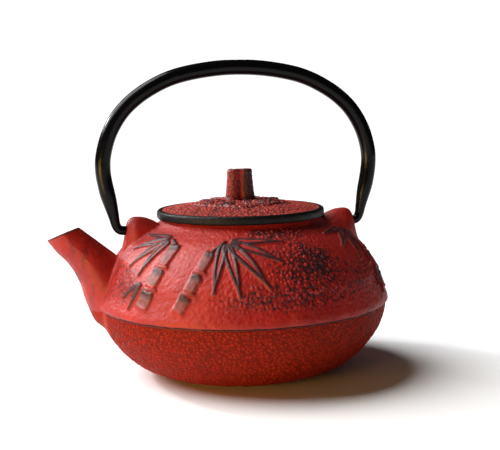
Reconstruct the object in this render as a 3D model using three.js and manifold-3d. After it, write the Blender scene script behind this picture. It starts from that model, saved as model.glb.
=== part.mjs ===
import * as THREE from 'three';
import { mergeVertices } from 'three/addons/utils/BufferGeometryUtils.js';
import Module from 'manifold-3d';

// A cast iron teapot with a bail handle. Millimetres, +Z up, the flat of the foot at Z = 0.
// The spout points along -X, and the two handle lugs stand in the XZ plane.

const ROUND = 60; // facets around the large turned shapes
const FIT = 0.3; // gap between pieces that touch

// Pot: one hollow casting.
const WALL = 3.4;
const FOOT_RADIUS = 36;
const SEAM_HEIGHT = 34.6; // the upper shell overhangs the bowl here
const NECK_RADIUS = 37.6;
const NECK_TOP = 75.3;
const MOUTH_RADIUS = 34;
const SEAT_RADIUS = 31; // the basket's rim hangs on the step between these two
const SEAT_HEIGHT = 72;

// Bail handle and the lugs that it hooks into.
const HINGE_HEIGHT = 70.5;
const PIN_RADIUS = 2.2;
const PIN_END = 48.5;
const LUG_HOLE_RADIUS = PIN_RADIUS + 0.5;
const LUG_HOLE_END = 47.8;
const LUG_THICKNESS = 6;
const LUG_BEVEL = 2.4;
const HANDLE_RADIUS = 3.65;

// Lid, its knob and the washer that the knob is riveted over.
const LID_RADIUS = 40.5;
const LID_UNDERSIDE = NECK_TOP + FIT;
const LID_CROWN = 83;
const LID_DOME_UNDERSIDE = 78.2;
const SKIRT_OUTER = 32.8;
const SKIRT_INNER = 30;
const KNOB_TOP = 98;
const KNOB_STUB_RADIUS = 3.7;
const KNOB_STUB_OFFSET = 3.1;
const SHANK_RADIUS = 2.2;
const SHANK_HOLE_RADIUS = SHANK_RADIUS + FIT;
const WASHER_RADIUS = 5.5;
const WASHER_THICKNESS = 0.9;
const RIVET_HEAD_RADIUS = 3.6;

// Tea basket.
const BASKET_RADIUS = 29.4;
const BASKET_SHEET = 0.7;
const BASKET_FLANGE_RADIUS = 33.4;
const BASKET_COLLAR_DEPTH = 7;
const BASKET_BOTTOM = 41;
const BASKET_RING_HEIGHT = 3.4;

const wasm = await Module();
wasm.setup();

/** A closed three.js geometry as a manifold solid. */
function toSolid(geometry) {
  const plain = geometry.index ? geometry.toNonIndexed() : geometry.clone();
  plain.deleteAttribute('normal');
  plain.deleteAttribute('uv');
  const merged = mergeVertices(plain, 1e-4);
  return new wasm.Manifold(
    new wasm.Mesh({
      numProp: 3,
      vertProperties: new Float32Array(merged.attributes.position.array),
      triVerts: new Uint32Array(merged.index.array),
    }),
  );
}

/** A manifold solid as a three.js geometry. */
function toGeometry(solid) {
  const mesh = solid.getMesh();
  const points = new Float32Array((mesh.vertProperties.length / mesh.numProp) * 3);
  for (let i = 0; i < points.length / 3; i += 1) {
    for (let axis = 0; axis < 3; axis += 1) {
      points[i * 3 + axis] = mesh.vertProperties[i * mesh.numProp + axis];
    }
  }
  const geometry = new THREE.BufferGeometry();
  geometry.setAttribute('position', new THREE.BufferAttribute(points, 3));
  geometry.setIndex(Array.from(mesh.triVerts));
  geometry.computeVertexNormals();
  return geometry;
}

/** A solid turned about Z from [radius, height] pairs that start and end on the axis, or close on themselves. */
function turned(profile, facets = ROUND) {
  const geometry = new THREE.LatheGeometry(profile.map(([r, z]) => new THREE.Vector2(r, z)), facets);
  geometry.rotateX(Math.PI / 2);
  return geometry;
}

/** Points along a smooth curve through [x, y] pairs. */
function smooth(points, steps) {
  const curve = new THREE.SplineCurve(points.map(([x, y]) => new THREE.Vector2(x, y)));
  return curve.getPoints(steps).map((p) => [p.x, p.y]);
}

/**
 * A solid that runs through oval sections. Each section has its centre [x, z], the unit vector [x, z] of its
 * in-plane half axis, the length of that half axis, and its half width along Y.
 */
function lofted(sections, facets) {
  const geometry = new THREE.CylinderGeometry(1, 1, 1, facets, sections.length - 1);
  const position = geometry.attributes.position;
  for (let i = 0; i < position.count; i += 1) {
    const row = Math.round((0.5 - position.getY(i)) * (sections.length - 1));
    const { centre, across, half, width } = sections[row];
    const u = position.getX(i) * half;
    const v = position.getZ(i) * width;
    position.setXYZ(i, centre[0] + across[0] * u, v, centre[1] + across[1] * u);
  }
  return geometry;
}

/** The same geometry with its faces turned to point outwards. */
function facingOut(geometry) {
  const solid = geometry.index ? geometry.toNonIndexed() : geometry.clone();
  const position = solid.attributes.position;
  const [a, b, c] = [new THREE.Vector3(), new THREE.Vector3(), new THREE.Vector3()];
  let volume = 0;
  for (let i = 0; i < position.count; i += 3) {
    a.fromBufferAttribute(position, i);
    b.fromBufferAttribute(position, i + 1);
    c.fromBufferAttribute(position, i + 2);
    volume += a.dot(b.cross(c));
  }
  if (volume < 0) {
    for (let i = 0; i < position.count; i += 3) {
      b.fromBufferAttribute(position, i + 1);
      c.fromBufferAttribute(position, i + 2);
      position.setXYZ(i + 1, c.x, c.y, c.z);
      position.setXYZ(i + 2, b.x, b.y, b.z);
    }
  }
  return solid;
}

// ---- Pot body ----

const BOWL_OUTSIDE = [
  [40, 1.5], [45, 3], [52, 6.4], [58, 11.2], [62.9, 17], [66.7, 23], [68.8, 29], [69.7, SEAM_HEIGHT - 0.4],
];
const SHELL_OUTSIDE = [
  [71, SEAM_HEIGHT + 0.4], [70.5, 37.4], [69, 40.6], [67.2, 45], [65.2, 50], [62.2, 55],
  [58.6, 60], [54, 64.4], [49.4, 67.8], [45, 70], [41.4, 71.8], [39, 73.4], [NECK_RADIUS, NECK_TOP],
];

/** The outside of the pot, without spout and lugs, grown outwards by an amount. */
function potOutside(grown = 0) {
  const wall = [...smooth(BOWL_OUTSIDE, 8), ...smooth(SHELL_OUTSIDE, 13)];
  const profile = [[FOOT_RADIUS, 0], [FOOT_RADIUS + 1, 1], ...wall].map(([r, z]) => [r + grown, z]);
  return turned([[0, 0], ...profile, [0, NECK_TOP]]);
}

function potInside() {
  const floor = WALL + 1;
  const wall = smooth(
    [
      [40, floor + 0.4], [49, 8.8], [55.5, 13.4], [60, 19], [63.4, 25], [65.6, 31], [66.5, 36.5],
      [65.4, 41], [63.4, 45.6], [61, 50.4], [57.6, 54.6], [53.4, 58.8], [48, 63], [42, 66.4], [36.5, 68.4],
      [SEAT_RADIUS, 69.4],
    ],
    14,
  );
  return turned([
    [0, floor], ...wall, [SEAT_RADIUS, SEAT_HEIGHT], [MOUTH_RADIUS, SEAT_HEIGHT], [MOUTH_RADIUS, NECK_TOP + 4],
    [0, NECK_TOP + 4],
  ]);
}

// The spout's upper and lower edges in the XZ plane, from inside the pot to the mouth, and its half width.
const SPOUT_UPPER = [[-44, 46], [-54.5, 54.2], [-61.5, 59.9], [-67, 64.4], [-71.8, 68.3], [-75.1, 71], [-77.7, 73.1]];
const SPOUT_LOWER = [[-54, 17.5], [-69.8, 25.8], [-75.4, 36.6], [-78.4, 47], [-83, 55.8], [-88.7, 62.1], [-92.6, 67.6]];
const SPOUT_HALF_WIDTH = [17, 14.2, 11.8, 10, 8.6, 7.9, 7.7];
const SPOUT_WALL = 2.3;
const SPOUT_SECTIONS = 11;

function spoutSections(thinner, overrun) {
  const upper = smooth(SPOUT_UPPER, SPOUT_SECTIONS - 1);
  const lower = smooth(SPOUT_LOWER, SPOUT_SECTIONS - 1);
  const widths = smooth(SPOUT_HALF_WIDTH.map((w, i) => [i, w]), SPOUT_SECTIONS - 1);
  const sections = upper.map((top, i) => {
    const low = lower[i];
    const span = Math.hypot(top[0] - low[0], top[1] - low[1]);
    return {
      centre: [(top[0] + low[0]) / 2, (top[1] + low[1]) / 2],
      across: [(top[0] - low[0]) / span, (top[1] - low[1]) / span],
      half: span / 2 - thinner,
      width: widths[i][1] - thinner,
    };
  });
  if (overrun > 0) {
    const last = sections[sections.length - 1];
    const out = [-last.across[1], last.across[0]];
    sections.push({ ...last, centre: [last.centre[0] + out[0] * overrun, last.centre[1] + out[1] * overrun] });
  }
  return sections;
}

/** A lug: a rounded fin on the shoulder at +X. */
function lug() {
  const outline = new THREE.Shape(
    [
      [38.5, 68], [41.5, 72.2], [45, 74], [49, 76], [52.2, 76], [54.4, 75], [55.7, 73],
      [56.6, 70], [57.2, 66.6], [58, 63], [59, 58], [52, 58], [44, 63],
    ].map(([x, z]) => new THREE.Vector2(x, z)),
  );
  const geometry = new THREE.ExtrudeGeometry(outline, {
    depth: LUG_THICKNESS,
    bevelEnabled: true,
    bevelThickness: LUG_BEVEL,
    bevelSize: 1.4,
    bevelOffset: -1.4,
    bevelSegments: 3,
  });
  geometry.translate(0, 0, -LUG_THICKNESS / 2);
  geometry.rotateX(Math.PI / 2);
  return geometry;
}

/** The hole that takes one end of the handle, along X. */
function lugHole() {
  const reach = 12;
  const geometry = new THREE.CylinderGeometry(LUG_HOLE_RADIUS, LUG_HOLE_RADIUS, reach, 18);
  geometry.rotateZ(Math.PI / 2);
  geometry.translate(LUG_HOLE_END + reach / 2, 0, HINGE_HEIGHT);
  return geometry;
}

function spoutBore() {
  return toSolid(facingOut(lofted(spoutSections(SPOUT_WALL, 3), 20)));
}

function potBody() {
  const rightLug = toSolid(lug());
  const rightHole = toSolid(lugHole());
  const solid = toSolid(potOutside())
    .add(rightLug)
    .add(rightLug.rotate([0, 0, 180]))
    .subtract(toSolid(potInside()))
    .subtract(spoutBore())
    .subtract(rightHole)
    .subtract(rightHole.rotate([0, 0, 180]));
  return toGeometry(solid);
}

/** The spout, from its root on the pot's wall to its mouth. */
function spout() {
  const solid = toSolid(facingOut(lofted(spoutSections(0, 0), 26)))
    .subtract(toSolid(potOutside(FIT)))
    .subtract(spoutBore());
  return toGeometry(solid);
}

// ---- Handle ----

function handle() {
  const half = [
    [0, 146.4], [15.2, 145.4], [31.3, 142], [45, 135.4], [55.1, 127], [61.6, 117], [64.8, 107],
    [65.4, 99], [64.2, 90.4], [62.3, 82.4], [61.1, 77], [60.4, 73.6], [59, 71.2], [56.4, HINGE_HEIGHT],
    [PIN_END, HINGE_HEIGHT],
  ];
  const path = [...half.slice(1).reverse().map(([x, z]) => [-x, z]), ...half];
  const curve = new THREE.SplineCurve(path.map(([x, z]) => new THREE.Vector2(x, z)));
  const steps = 60;
  const sections = [];
  for (let i = 0; i <= steps; i += 1) {
    const t = i / steps;
    const point = curve.getPoint(t);
    const tangent = curve.getTangent(t);
    const above = THREE.MathUtils.smoothstep(point.y, HINGE_HEIGHT + 0.8, HINGE_HEIGHT + 19);
    const radius = PIN_RADIUS + (HANDLE_RADIUS - PIN_RADIUS) * above;
    sections.push({ centre: [point.x, point.y], across: [-tangent.y, tangent.x], half: radius, width: radius });
  }
  return facingOut(lofted(sections, 14));
}

// ---- Lid and knob ----

function lid() {
  const edge = 0.9;
  const top = LID_UNDERSIDE + 3;
  return turned([
    [SHANK_HOLE_RADIUS, LID_DOME_UNDERSIDE],
    [24, LID_DOME_UNDERSIDE - 0.6],
    [SKIRT_INNER, LID_UNDERSIDE + 0.4],
    [SKIRT_INNER, SEAT_HEIGHT + 2],
    [SKIRT_OUTER, SEAT_HEIGHT + 2],
    [SKIRT_OUTER, LID_UNDERSIDE],
    [LID_RADIUS - edge, LID_UNDERSIDE],
    [LID_RADIUS - 0.2, LID_UNDERSIDE + edge / 2],
    [LID_RADIUS, LID_UNDERSIDE + edge],
    [LID_RADIUS, top - edge],
    [LID_RADIUS - 0.3, top - edge / 3],
    [LID_RADIUS - 1.2, top + 0.1],
    [34, top + 0.9],
    [27, top + 1.9],
    [23.4, top + 2.6],
    [22, top + 3.4],
    [12, LID_CROWN - 0.3],
    [SHANK_HOLE_RADIUS, LID_CROWN],
    [SHANK_HOLE_RADIUS, LID_DOME_UNDERSIDE],
  ]);
}

/** One stub of bamboo, with a swelling at its foot and its top, standing off the centre of the lid. */
function knobStub(side) {
  const base = LID_CROWN + FIT;
  const r = KNOB_STUB_RADIUS;
  const stub = turned(
    [
      [0, base], [r + 0.4, base], [r + 0.5, base + 1.2], [r + 0.2, base + 2.6], [r, base + 6],
      [r - 0.3, base + 9.5], [r - 0.4, KNOB_TOP - 3], [r - 0.4, KNOB_TOP - 1.4], [r - 0.9, KNOB_TOP - 0.3],
      [r - 1.7, KNOB_TOP], [0, KNOB_TOP - 0.6],
    ],
    20,
  );
  stub.translate(side * KNOB_STUB_OFFSET, 0, 0);
  return stub;
}

function lidKnob() {
  const washerUnder = LID_DOME_UNDERSIDE - FIT - WASHER_THICKNESS;
  const headTop = washerUnder - FIT;
  const shank = turned(
    [
      [0, headTop - 1.8], [RIVET_HEAD_RADIUS - 1.4, headTop - 1.5], [RIVET_HEAD_RADIUS, headTop - 0.4],
      [RIVET_HEAD_RADIUS, headTop], [SHANK_RADIUS, headTop], [SHANK_RADIUS, LID_CROWN + 3], [0, LID_CROWN + 3],
    ],
    20,
  );
  return toGeometry(toSolid(knobStub(-1)).add(toSolid(knobStub(1))).add(toSolid(shank)));
}

function knobWasher() {
  const top = LID_DOME_UNDERSIDE - FIT;
  const inner = SHANK_RADIUS + FIT;
  return turned(
    [
      [inner, top - WASHER_THICKNESS], [WASHER_RADIUS, top - WASHER_THICKNESS], [WASHER_RADIUS, top - 0.1],
      [inner, top], [inner, top - WASHER_THICKNESS],
    ],
    24,
  );
}

// ---- Tea basket ----

/** The pressed rim: a flat flange that hangs on the seat, and a collar that holds the mesh. */
function basketRim() {
  const low = SEAT_HEIGHT + FIT;
  const top = low + BASKET_SHEET;
  const outer = BASKET_RADIUS + BASKET_SHEET + FIT;
  return turned([
    [outer - BASKET_SHEET, low - BASKET_COLLAR_DEPTH],
    [outer, low - BASKET_COLLAR_DEPTH],
    [outer, low - 1.2],
    [outer + 0.5, low],
    [BASKET_FLANGE_RADIUS, low],
    [BASKET_FLANGE_RADIUS, top],
    [outer + 0.1, top],
    [outer - BASKET_SHEET, low - 0.7],
    [outer - BASKET_SHEET, low - BASKET_COLLAR_DEPTH],
  ]);
}

/** The wall of wire mesh, rolled into a tube. */
function basketMesh() {
  const top = SEAT_HEIGHT - 1.4;
  const low = BASKET_BOTTOM + 0.9;
  const inner = BASKET_RADIUS - BASKET_SHEET;
  return turned([[inner, low], [BASKET_RADIUS, low], [BASKET_RADIUS, top], [inner, top], [inner, low]]);
}

/** The hem ring around the bottom, with a lip turned in under the floor. */
function basketRing() {
  const inner = BASKET_RADIUS + FIT;
  const outer = inner + BASKET_SHEET;
  const low = BASKET_BOTTOM - BASKET_SHEET - FIT;
  const top = low + BASKET_RING_HEIGHT;
  return turned([
    [BASKET_RADIUS - 4, low], [outer - 0.3, low], [outer, low + 0.3], [outer, top], [inner, top],
    [inner, low + BASKET_SHEET], [BASKET_RADIUS - 4, low + BASKET_SHEET], [BASKET_RADIUS - 4, low],
  ]);
}

/** The floor of wire mesh. */
function basketFloor() {
  const low = BASKET_BOTTOM;
  const rim = BASKET_RADIUS - 0.2;
  return turned([[0, low + 0.1], [rim, low], [rim, low + 0.6], [0, low + 0.7]]);
}

// ---- Assembly ----

function material(name, color, roughness, metalness) {
  const made = new THREE.MeshStandardMaterial({ color, roughness, metalness });
  made.name = name;
  return made;
}

const RED = 0xb4483c;
const BLACK = 0x15130f;
const STEEL = 0xb9bbbd;

function piece(name, geometry, finish) {
  const mesh = new THREE.Mesh(geometry, finish);
  mesh.name = name;
  return mesh;
}

const teapot = new THREE.Group();
teapot.name = 'cast_iron_teapot';
const lidGroup = new THREE.Group();
lidGroup.name = 'lid_group';
lidGroup.add(
  piece('lid', lid(), material('lid_enamel', RED, 0.5, 0.2)),
  piece('lid_knob', lidKnob(), material('knob_enamel', RED, 0.5, 0.2)),
  piece('knob_washer', knobWasher(), material('washer_steel', STEEL, 0.35, 1)),
);
const basketGroup = new THREE.Group();
basketGroup.name = 'basket_group';
basketGroup.add(
  piece('basket_rim', basketRim(), material('rim_steel', STEEL, 0.28, 1)),
  piece('basket_mesh_wall', basketMesh(), material('wall_steel', STEEL, 0.45, 1)),
  piece('basket_mesh_floor', basketFloor(), material('floor_steel', STEEL, 0.45, 1)),
  piece('basket_bottom_ring', basketRing(), material('ring_steel', STEEL, 0.28, 1)),
);
teapot.add(
  piece('pot_body', potBody(), material('pot_enamel', RED, 0.5, 0.2)),
  piece('spout', spout(), material('spout_enamel', RED, 0.5, 0.2)),
  piece('bail_handle', handle(), material('handle_black', BLACK, 0.25, 0.3)),
  lidGroup,
  basketGroup,
);

export default teapot;
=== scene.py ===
import math

import bmesh
import bpy
import numpy as np
from mathutils import Matrix, Vector, noise


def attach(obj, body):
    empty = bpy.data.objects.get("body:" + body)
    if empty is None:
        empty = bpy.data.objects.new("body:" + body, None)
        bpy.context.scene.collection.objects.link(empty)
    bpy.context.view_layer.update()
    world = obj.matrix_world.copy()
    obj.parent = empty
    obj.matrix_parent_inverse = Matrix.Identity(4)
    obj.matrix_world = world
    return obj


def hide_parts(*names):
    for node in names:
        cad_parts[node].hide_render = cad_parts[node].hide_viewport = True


# A cast iron teapot. Outlines are in millimetres, with +Z up, the flat of the foot at Z = 0 and the spout
# along -X.
# A direction round the pot is an angle in degrees from -Y, the front, towards +X.

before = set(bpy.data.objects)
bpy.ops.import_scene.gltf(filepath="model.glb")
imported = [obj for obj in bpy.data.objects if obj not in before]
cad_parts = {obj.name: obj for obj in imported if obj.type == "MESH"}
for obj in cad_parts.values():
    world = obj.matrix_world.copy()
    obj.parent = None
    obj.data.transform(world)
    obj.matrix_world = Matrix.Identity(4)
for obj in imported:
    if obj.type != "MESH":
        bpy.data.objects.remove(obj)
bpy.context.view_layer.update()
MM = 0.001
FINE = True

SEAM = 34.6
NECK_RADIUS = 37.6
NECK_TOP = 75.3
BOWL_OUTSIDE = [
    (40, 1.5), (45, 3), (52, 6.4), (58, 11.2), (62.9, 17), (66.7, 23), (68.8, 29), (69.5, SEAM - 1.2),
]
SHELL_OUTSIDE = [
    (70.8, SEAM + 0.5), (70.3, 37.4), (68.9, 40.6), (67.1, 45), (65.2, 50), (62.2, 55), (58.6, 60),
    (54, 64.4), (49.4, 67.8), (45, 70), (41.4, 71.8), (39, 73.4), (NECK_RADIUS, NECK_TOP),
]
INSIDE_WALL = [
    (40, 4.8), (49, 8.8), (55.5, 13.4), (60, 19), (63.4, 25), (65.6, 31), (66.5, 36.5), (65.4, 41),
    (63.4, 45.6), (61, 50.4), (57.6, 54.6), (53.4, 58.8), (48, 63), (42, 66.4), (36.5, 68.4), (31, 69.4),
]
SPOUT_UPPER = [(-44, 46), (-54.5, 54.2), (-61.5, 59.9), (-67, 64.4), (-71.8, 68.3), (-75.1, 71), (-77.7, 73.1)]
SPOUT_LOWER = [(-54, 17.5), (-69.8, 25.8), (-75.4, 36.6), (-78.4, 47), (-83, 55.8), (-88.7, 62.1), (-92.5, 67.5)]
SPOUT_HALF_WIDTH = [17, 14.2, 11.8, 10, 8.6, 7.9, 7.7]
SPOUT_WALL = 2.3
# The way the spout's mouth faces, and how much its cut falls away towards the back.
SPOUT_OUT = np.array([-0.342, 0, 0.94])
MOUTH_SLANT = 0.13
LUG_CREST = [
    (35, 70.5), (38.5, 72.4), (42, 74.6), (45.5, 76.2), (49, 76.9), (52, 76.7), (53.9, 75.4), (55.1, 72.6),
    (55.7, 69), (56.8, 64), (58.4, 58.5),
]
# The casting's right lug reaches a little further out than its left one.
LUG_REACH = {-1: 1.03, 1: 1.09}
LUG_HALF_WIDTH = 6.4
LUG_BASE = 58
HINGE_HEIGHT = 70.5
# The relief and the rod's waves stay between these, inside the frame's box.
LOWEST = 0.02
HIGHEST = 149.9


# ---------------------------------------------------------------- shapes


def spline(points, steps):
    """steps + 1 points along a smooth curve through the given ones."""
    p = np.array(points, float)
    n = len(p)
    out = []
    for s in np.linspace(0, n - 1, steps + 1):
        i = min(int(s), n - 2)
        t = s - i
        a, b, c, d = p[max(i - 1, 0)], p[i], p[i + 1], p[min(i + 2, n - 1)]
        bend = 2 * a - 5 * b + 4 * c - d
        twist = 3 * b - a - 3 * c + d
        out.append(0.5 * (2 * b + (c - a) * t + bend * t**2 + twist * t**3))
    return np.array(out)


def even(points, gap):
    """The same line with its points about gap apart."""
    p = np.array(points, float)
    along = np.concatenate([[0], np.cumsum(np.linalg.norm(np.diff(p, axis=0), axis=1))])
    at = np.linspace(0, along[-1], max(2, int(round(along[-1] / gap)) + 1))
    return np.stack([np.interp(at, along, p[:, k]) for k in range(p.shape[1])], axis=1)


def smoothstep(low, high, x):
    t = np.clip((x - low) / (high - low), 0, 1)
    return t * t * (3 - 2 * t)


def grid_faces(rows, columns):
    """Quads between rows of points that each close on themselves."""
    i, j = np.meshgrid(np.arange(rows - 1), np.arange(columns), indexing="ij")
    a = i * columns + j
    b = i * columns + (j + 1) % columns
    return np.stack([a, b, b + columns, a + columns], axis=-1).reshape(-1, 4).tolist()


def tube_mesh(rings):
    """Points and faces of a closed solid through rings, an array of (rings, points, 3), with a fan at each end."""
    count, around = rings.shape[:2]
    points = rings.reshape(-1, 3).tolist()
    faces = grid_faces(count, around)
    for ring, flip in ((0, True), (count - 1, False)):
        centre = len(points)
        points.append(rings[ring].mean(axis=0).tolist())
        start = ring * around
        for j in range(around):
            a, b = start + j, start + (j + 1) % around
            faces.append([centre, b, a] if flip else [centre, a, b])
    return points, faces


def turned_rings(profile, around):
    """Rings of a profile of (radius, height) pairs about Z."""
    angle = np.linspace(0, 2 * math.pi, around, endpoint=False)
    circle = np.stack([np.sin(angle), -np.cos(angle)], axis=1)
    profile = np.array(profile, float)
    rings = np.zeros((len(profile), around, 3))
    rings[:, :, :2] = profile[:, None, :1] * circle[None]
    rings[:, :, 2] = profile[:, 1:2]
    return rings


def make_object(name, points, faces):
    """A mesh object from points in millimetres, with its faces pointing out."""
    mesh = bpy.data.meshes.new(name)
    mesh.from_pydata((np.array(points) * MM).tolist(), [], faces)
    bm = bmesh.new()
    bm.from_mesh(mesh)
    bmesh.ops.remove_doubles(bm, verts=bm.verts, dist=1e-7)
    bmesh.ops.recalc_face_normals(bm, faces=bm.faces)
    bm.to_mesh(mesh)
    bm.free()
    made = bpy.data.objects.new(name, mesh)
    bpy.context.scene.collection.objects.link(made)
    return made


def turned(name, profile, around):
    return make_object(name, *tube_mesh(turned_rings(profile, around)))


def bake(made):
    """Applies the object's modifiers."""
    bpy.context.view_layer.update()
    ready = made.evaluated_get(bpy.context.evaluated_depsgraph_get())
    mesh = bpy.data.meshes.new_from_object(ready)
    made.modifiers.clear()
    made.data = mesh
    return made


def combine(base, others, operation):
    """base with the other solids joined on or cut away, which are then thrown away."""
    for other in others:
        modifier = base.modifiers.new(operation.lower(), "BOOLEAN")
        modifier.operation = operation
        modifier.solver = "MANIFOLD"
        modifier.object = other
        bake(base)
        bpy.data.objects.remove(other)
    return base


def coordinates(made):
    co = np.zeros(len(made.data.vertices) * 3)
    made.data.vertices.foreach_get("co", co)
    return co.reshape(-1, 3) / MM


def set_coordinates(made, co):
    made.data.vertices.foreach_set("co", (co * MM).ravel())
    made.data.update()


def normals(made):
    n = np.zeros(len(made.data.vertices) * 3)
    made.data.vertex_normals.foreach_get("vector", n)
    return n.reshape(-1, 3)


def relax(made, weight, rounds):
    """Evens out a surface where weight is over 0."""
    edges = np.zeros(len(made.data.edges) * 2, int)
    made.data.edges.foreach_get("vertices", edges)
    edges = edges.reshape(-1, 2)
    used = edges[(weight[edges[:, 0]] > 0) | (weight[edges[:, 1]] > 0)]
    co = coordinates(made)
    degree = np.bincount(used.ravel(), minlength=len(co)).astype(float)
    degree[degree == 0] = 1
    for _ in range(rounds):
        total = np.zeros_like(co)
        for k in range(3):
            total[:, k] += np.bincount(used[:, 0], co[used[:, 1], k], minlength=len(co))
            total[:, k] += np.bincount(used[:, 1], co[used[:, 0], k], minlength=len(co))
        co += (total / degree[:, None] - co) * (weight * 0.6)[:, None]
    set_coordinates(made, co)


def paint(made, name, values):
    """Keeps one number per point for the material to read."""
    layer = made.data.attributes.new(name, "FLOAT", "POINT")
    layer.data.foreach_set("value", np.asarray(values, np.float32))


def smooth_shading(made):
    made.data.polygons.foreach_set("use_smooth", [True] * len(made.data.polygons))
    made.data.update()


def cells(points, size, stretch=(1, 1, 1)):
    """How far each point is from the nearest border between cells of about this size: 0 on it, near 1 inside."""
    scaled = points / size * np.array(stretch)
    out = np.empty(len(points))
    for i, p in enumerate(scaled.tolist()):
        near = noise.voronoi(p)[0]
        out[i] = near[1] - near[0]
    return out


def clouds(points, size, seed=0.0):
    """Soft noise from about -1 to 1."""
    scaled = (points / size + seed).tolist()
    return np.array([noise.noise(p) for p in scaled])


# ---------------------------------------------------------------- the pot's casting


SHELL_LINE = spline(SHELL_OUTSIDE, 200)


def shell_radius(height):
    """The outside radius of the pot above the seam."""
    return np.interp(height, SHELL_LINE[:, 1], SHELL_LINE[:, 0])


def outside_radius(height):
    bowl, shell = spline(BOWL_OUTSIDE, 200), spline(SHELL_OUTSIDE, 200)
    line = np.concatenate([[(36, 0)], bowl, shell])
    return np.interp(height, line[:, 1], line[:, 0])


def pot_outline(gap):
    """The pot's outside from the axis under the foot to the axis over the neck, with the groove under the seam."""
    bowl = even(spline(BOWL_OUTSIDE, 300), gap)
    groove = [(69.35, SEAM - 0.7), (69.0, SEAM - 0.3), (69.5, SEAM), (70.3, SEAM + 0.1)]
    shell = even(spline(SHELL_OUTSIDE, 400), gap)
    foot = even([(30, 0), (36, 0), (37, 1)], 1.0)
    neck = [(35.8, NECK_TOP), (12, NECK_TOP), (0, NECK_TOP)]
    return np.concatenate([[(0, 0), (15, 0)], foot, bowl, groove, shell, neck])


def spout_sections(steps):
    upper, lower = spline(SPOUT_UPPER, steps), spline(SPOUT_LOWER, steps)
    width = spline([(w, 0) for w in SPOUT_HALF_WIDTH], steps)[:, 0]
    return upper, lower, width


def spout_rings(steps, around, thinner=0.0, overrun=0.0, ridge=2.0):
    """Rings of the spout. A ridge below 2 pinches its oval towards a soft edge down each side."""
    upper, lower, width = spout_sections(steps)
    angle = np.linspace(0, 2 * math.pi, around, endpoint=False)
    cos, sin = np.cos(angle), np.sin(angle)
    cos, sin = (np.sign(v) * np.abs(v) ** (2 / ridge) for v in (cos, sin))
    rings = []
    for top, low, wide in zip(upper, lower, width):
        centre, half = (top + low) / 2, (top - low) / 2
        size = np.linalg.norm(half)
        half = half * (size - thinner) / size
        ring = np.zeros((around, 3))
        ring[:, 0] = centre[0] + half[0] * cos
        ring[:, 1] = (wide - thinner) * sin
        ring[:, 2] = centre[1] + half[1] * cos
        tilt = MOUTH_SLANT * smoothstep(-78, -88, centre[0])
        ring -= np.outer(ring[:, 1] * tilt, SPOUT_OUT)
        rings.append(ring)
    if overrun:
        rings.append(rings[-1] + SPOUT_OUT * overrun)
    return np.array(rings)


def mouth_distance(co):
    """How far each point is from the plane of the spout's mouth, in millimetres."""
    top = np.array([SPOUT_UPPER[-1][0], 0, SPOUT_UPPER[-1][1]])
    return (co - top) @ SPOUT_OUT + co[:, 1] * MOUTH_SLANT


def lug_rings(side):
    """Rings of a handle lug: a mound with a narrow crest, steep on the outside."""
    crest = even(spline(LUG_CREST, 80), 0.5)
    angle = np.linspace(0, 2 * math.pi, 56, endpoint=False)
    rings = []
    for x, z in crest:
        half = max((z - LUG_BASE) / 2, 0.2)
        fade = smoothstep(59, 50, x)
        ring = np.zeros((len(angle), 3))
        ring[:, 0] = side * (LUG_CREST[0][0] + (x - LUG_CREST[0][0]) * LUG_REACH[side])
        ring[:, 1] = np.sin(angle) * (2.2 + (LUG_HALF_WIDTH - 2.2) * fade) * (1.15 - 0.35 * np.cos(angle))
        ring[:, 2] = LUG_BASE + half + half * np.cos(angle)
        rings.append(ring)
    return np.array(rings)


def cylinder(name, radius, start, end, around=40):
    """A solid round bar from one point to another along X."""
    angle = np.linspace(0, 2 * math.pi, around, endpoint=False)
    rings = np.zeros((2, around, 3))
    for ring, point in zip(rings, (start, end)):
        ring[:, 0] = point[0]
        ring[:, 1] = radius * np.cos(angle)
        ring[:, 2] = point[2] + radius * np.sin(angle)
    return make_object(name, *tube_mesh(rings))


def spout_distance(co):
    """About how far each point is outside the spout, in millimetres."""
    upper, lower, width = spout_sections(60)
    centre, half = (upper + lower) / 2, (upper - lower) / 2
    along = np.stack([-half[:, 1], half[:, 0]], axis=1)
    along /= np.linalg.norm(along, axis=1)[:, None]
    out = np.full(len(co), 99.0)
    near = np.flatnonzero((co[:, 0] < -45) & (np.abs(co[:, 1]) < 24))
    for i in near:
        gap = co[i, [0, 2]] - centre
        k = np.argmin(np.abs((gap * along).sum(axis=1)) + 0.05 * np.linalg.norm(gap, axis=1))
        size = np.linalg.norm(half[k])
        u = gap[k] @ half[k] / size / size
        v = co[i, 1] / width[k]
        out[i] = (math.hypot(u, v) - 1) * min(size, width[k])
    return out


def lug_distance(co):
    """About how far each point is outside the nearer lug, in millimetres."""
    crest = spline(LUG_CREST, 80)
    reach = np.where(co[:, 0] < 0, LUG_REACH[-1], LUG_REACH[1])
    x = LUG_CREST[0][0] + (np.abs(co[:, 0]) - LUG_CREST[0][0]) / reach
    top = np.interp(x, crest[:, 0], crest[:, 1], left=0, right=0)
    half = np.maximum((top - LUG_BASE) / 2, 0.3)
    u = (co[:, 2] - LUG_BASE - half) / half
    v = co[:, 1] / LUG_HALF_WIDTH
    out = (np.hypot(u, v) - 1) * LUG_HALF_WIDTH
    out[(x < 34) | (x > 61)] = 99
    return out


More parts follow.
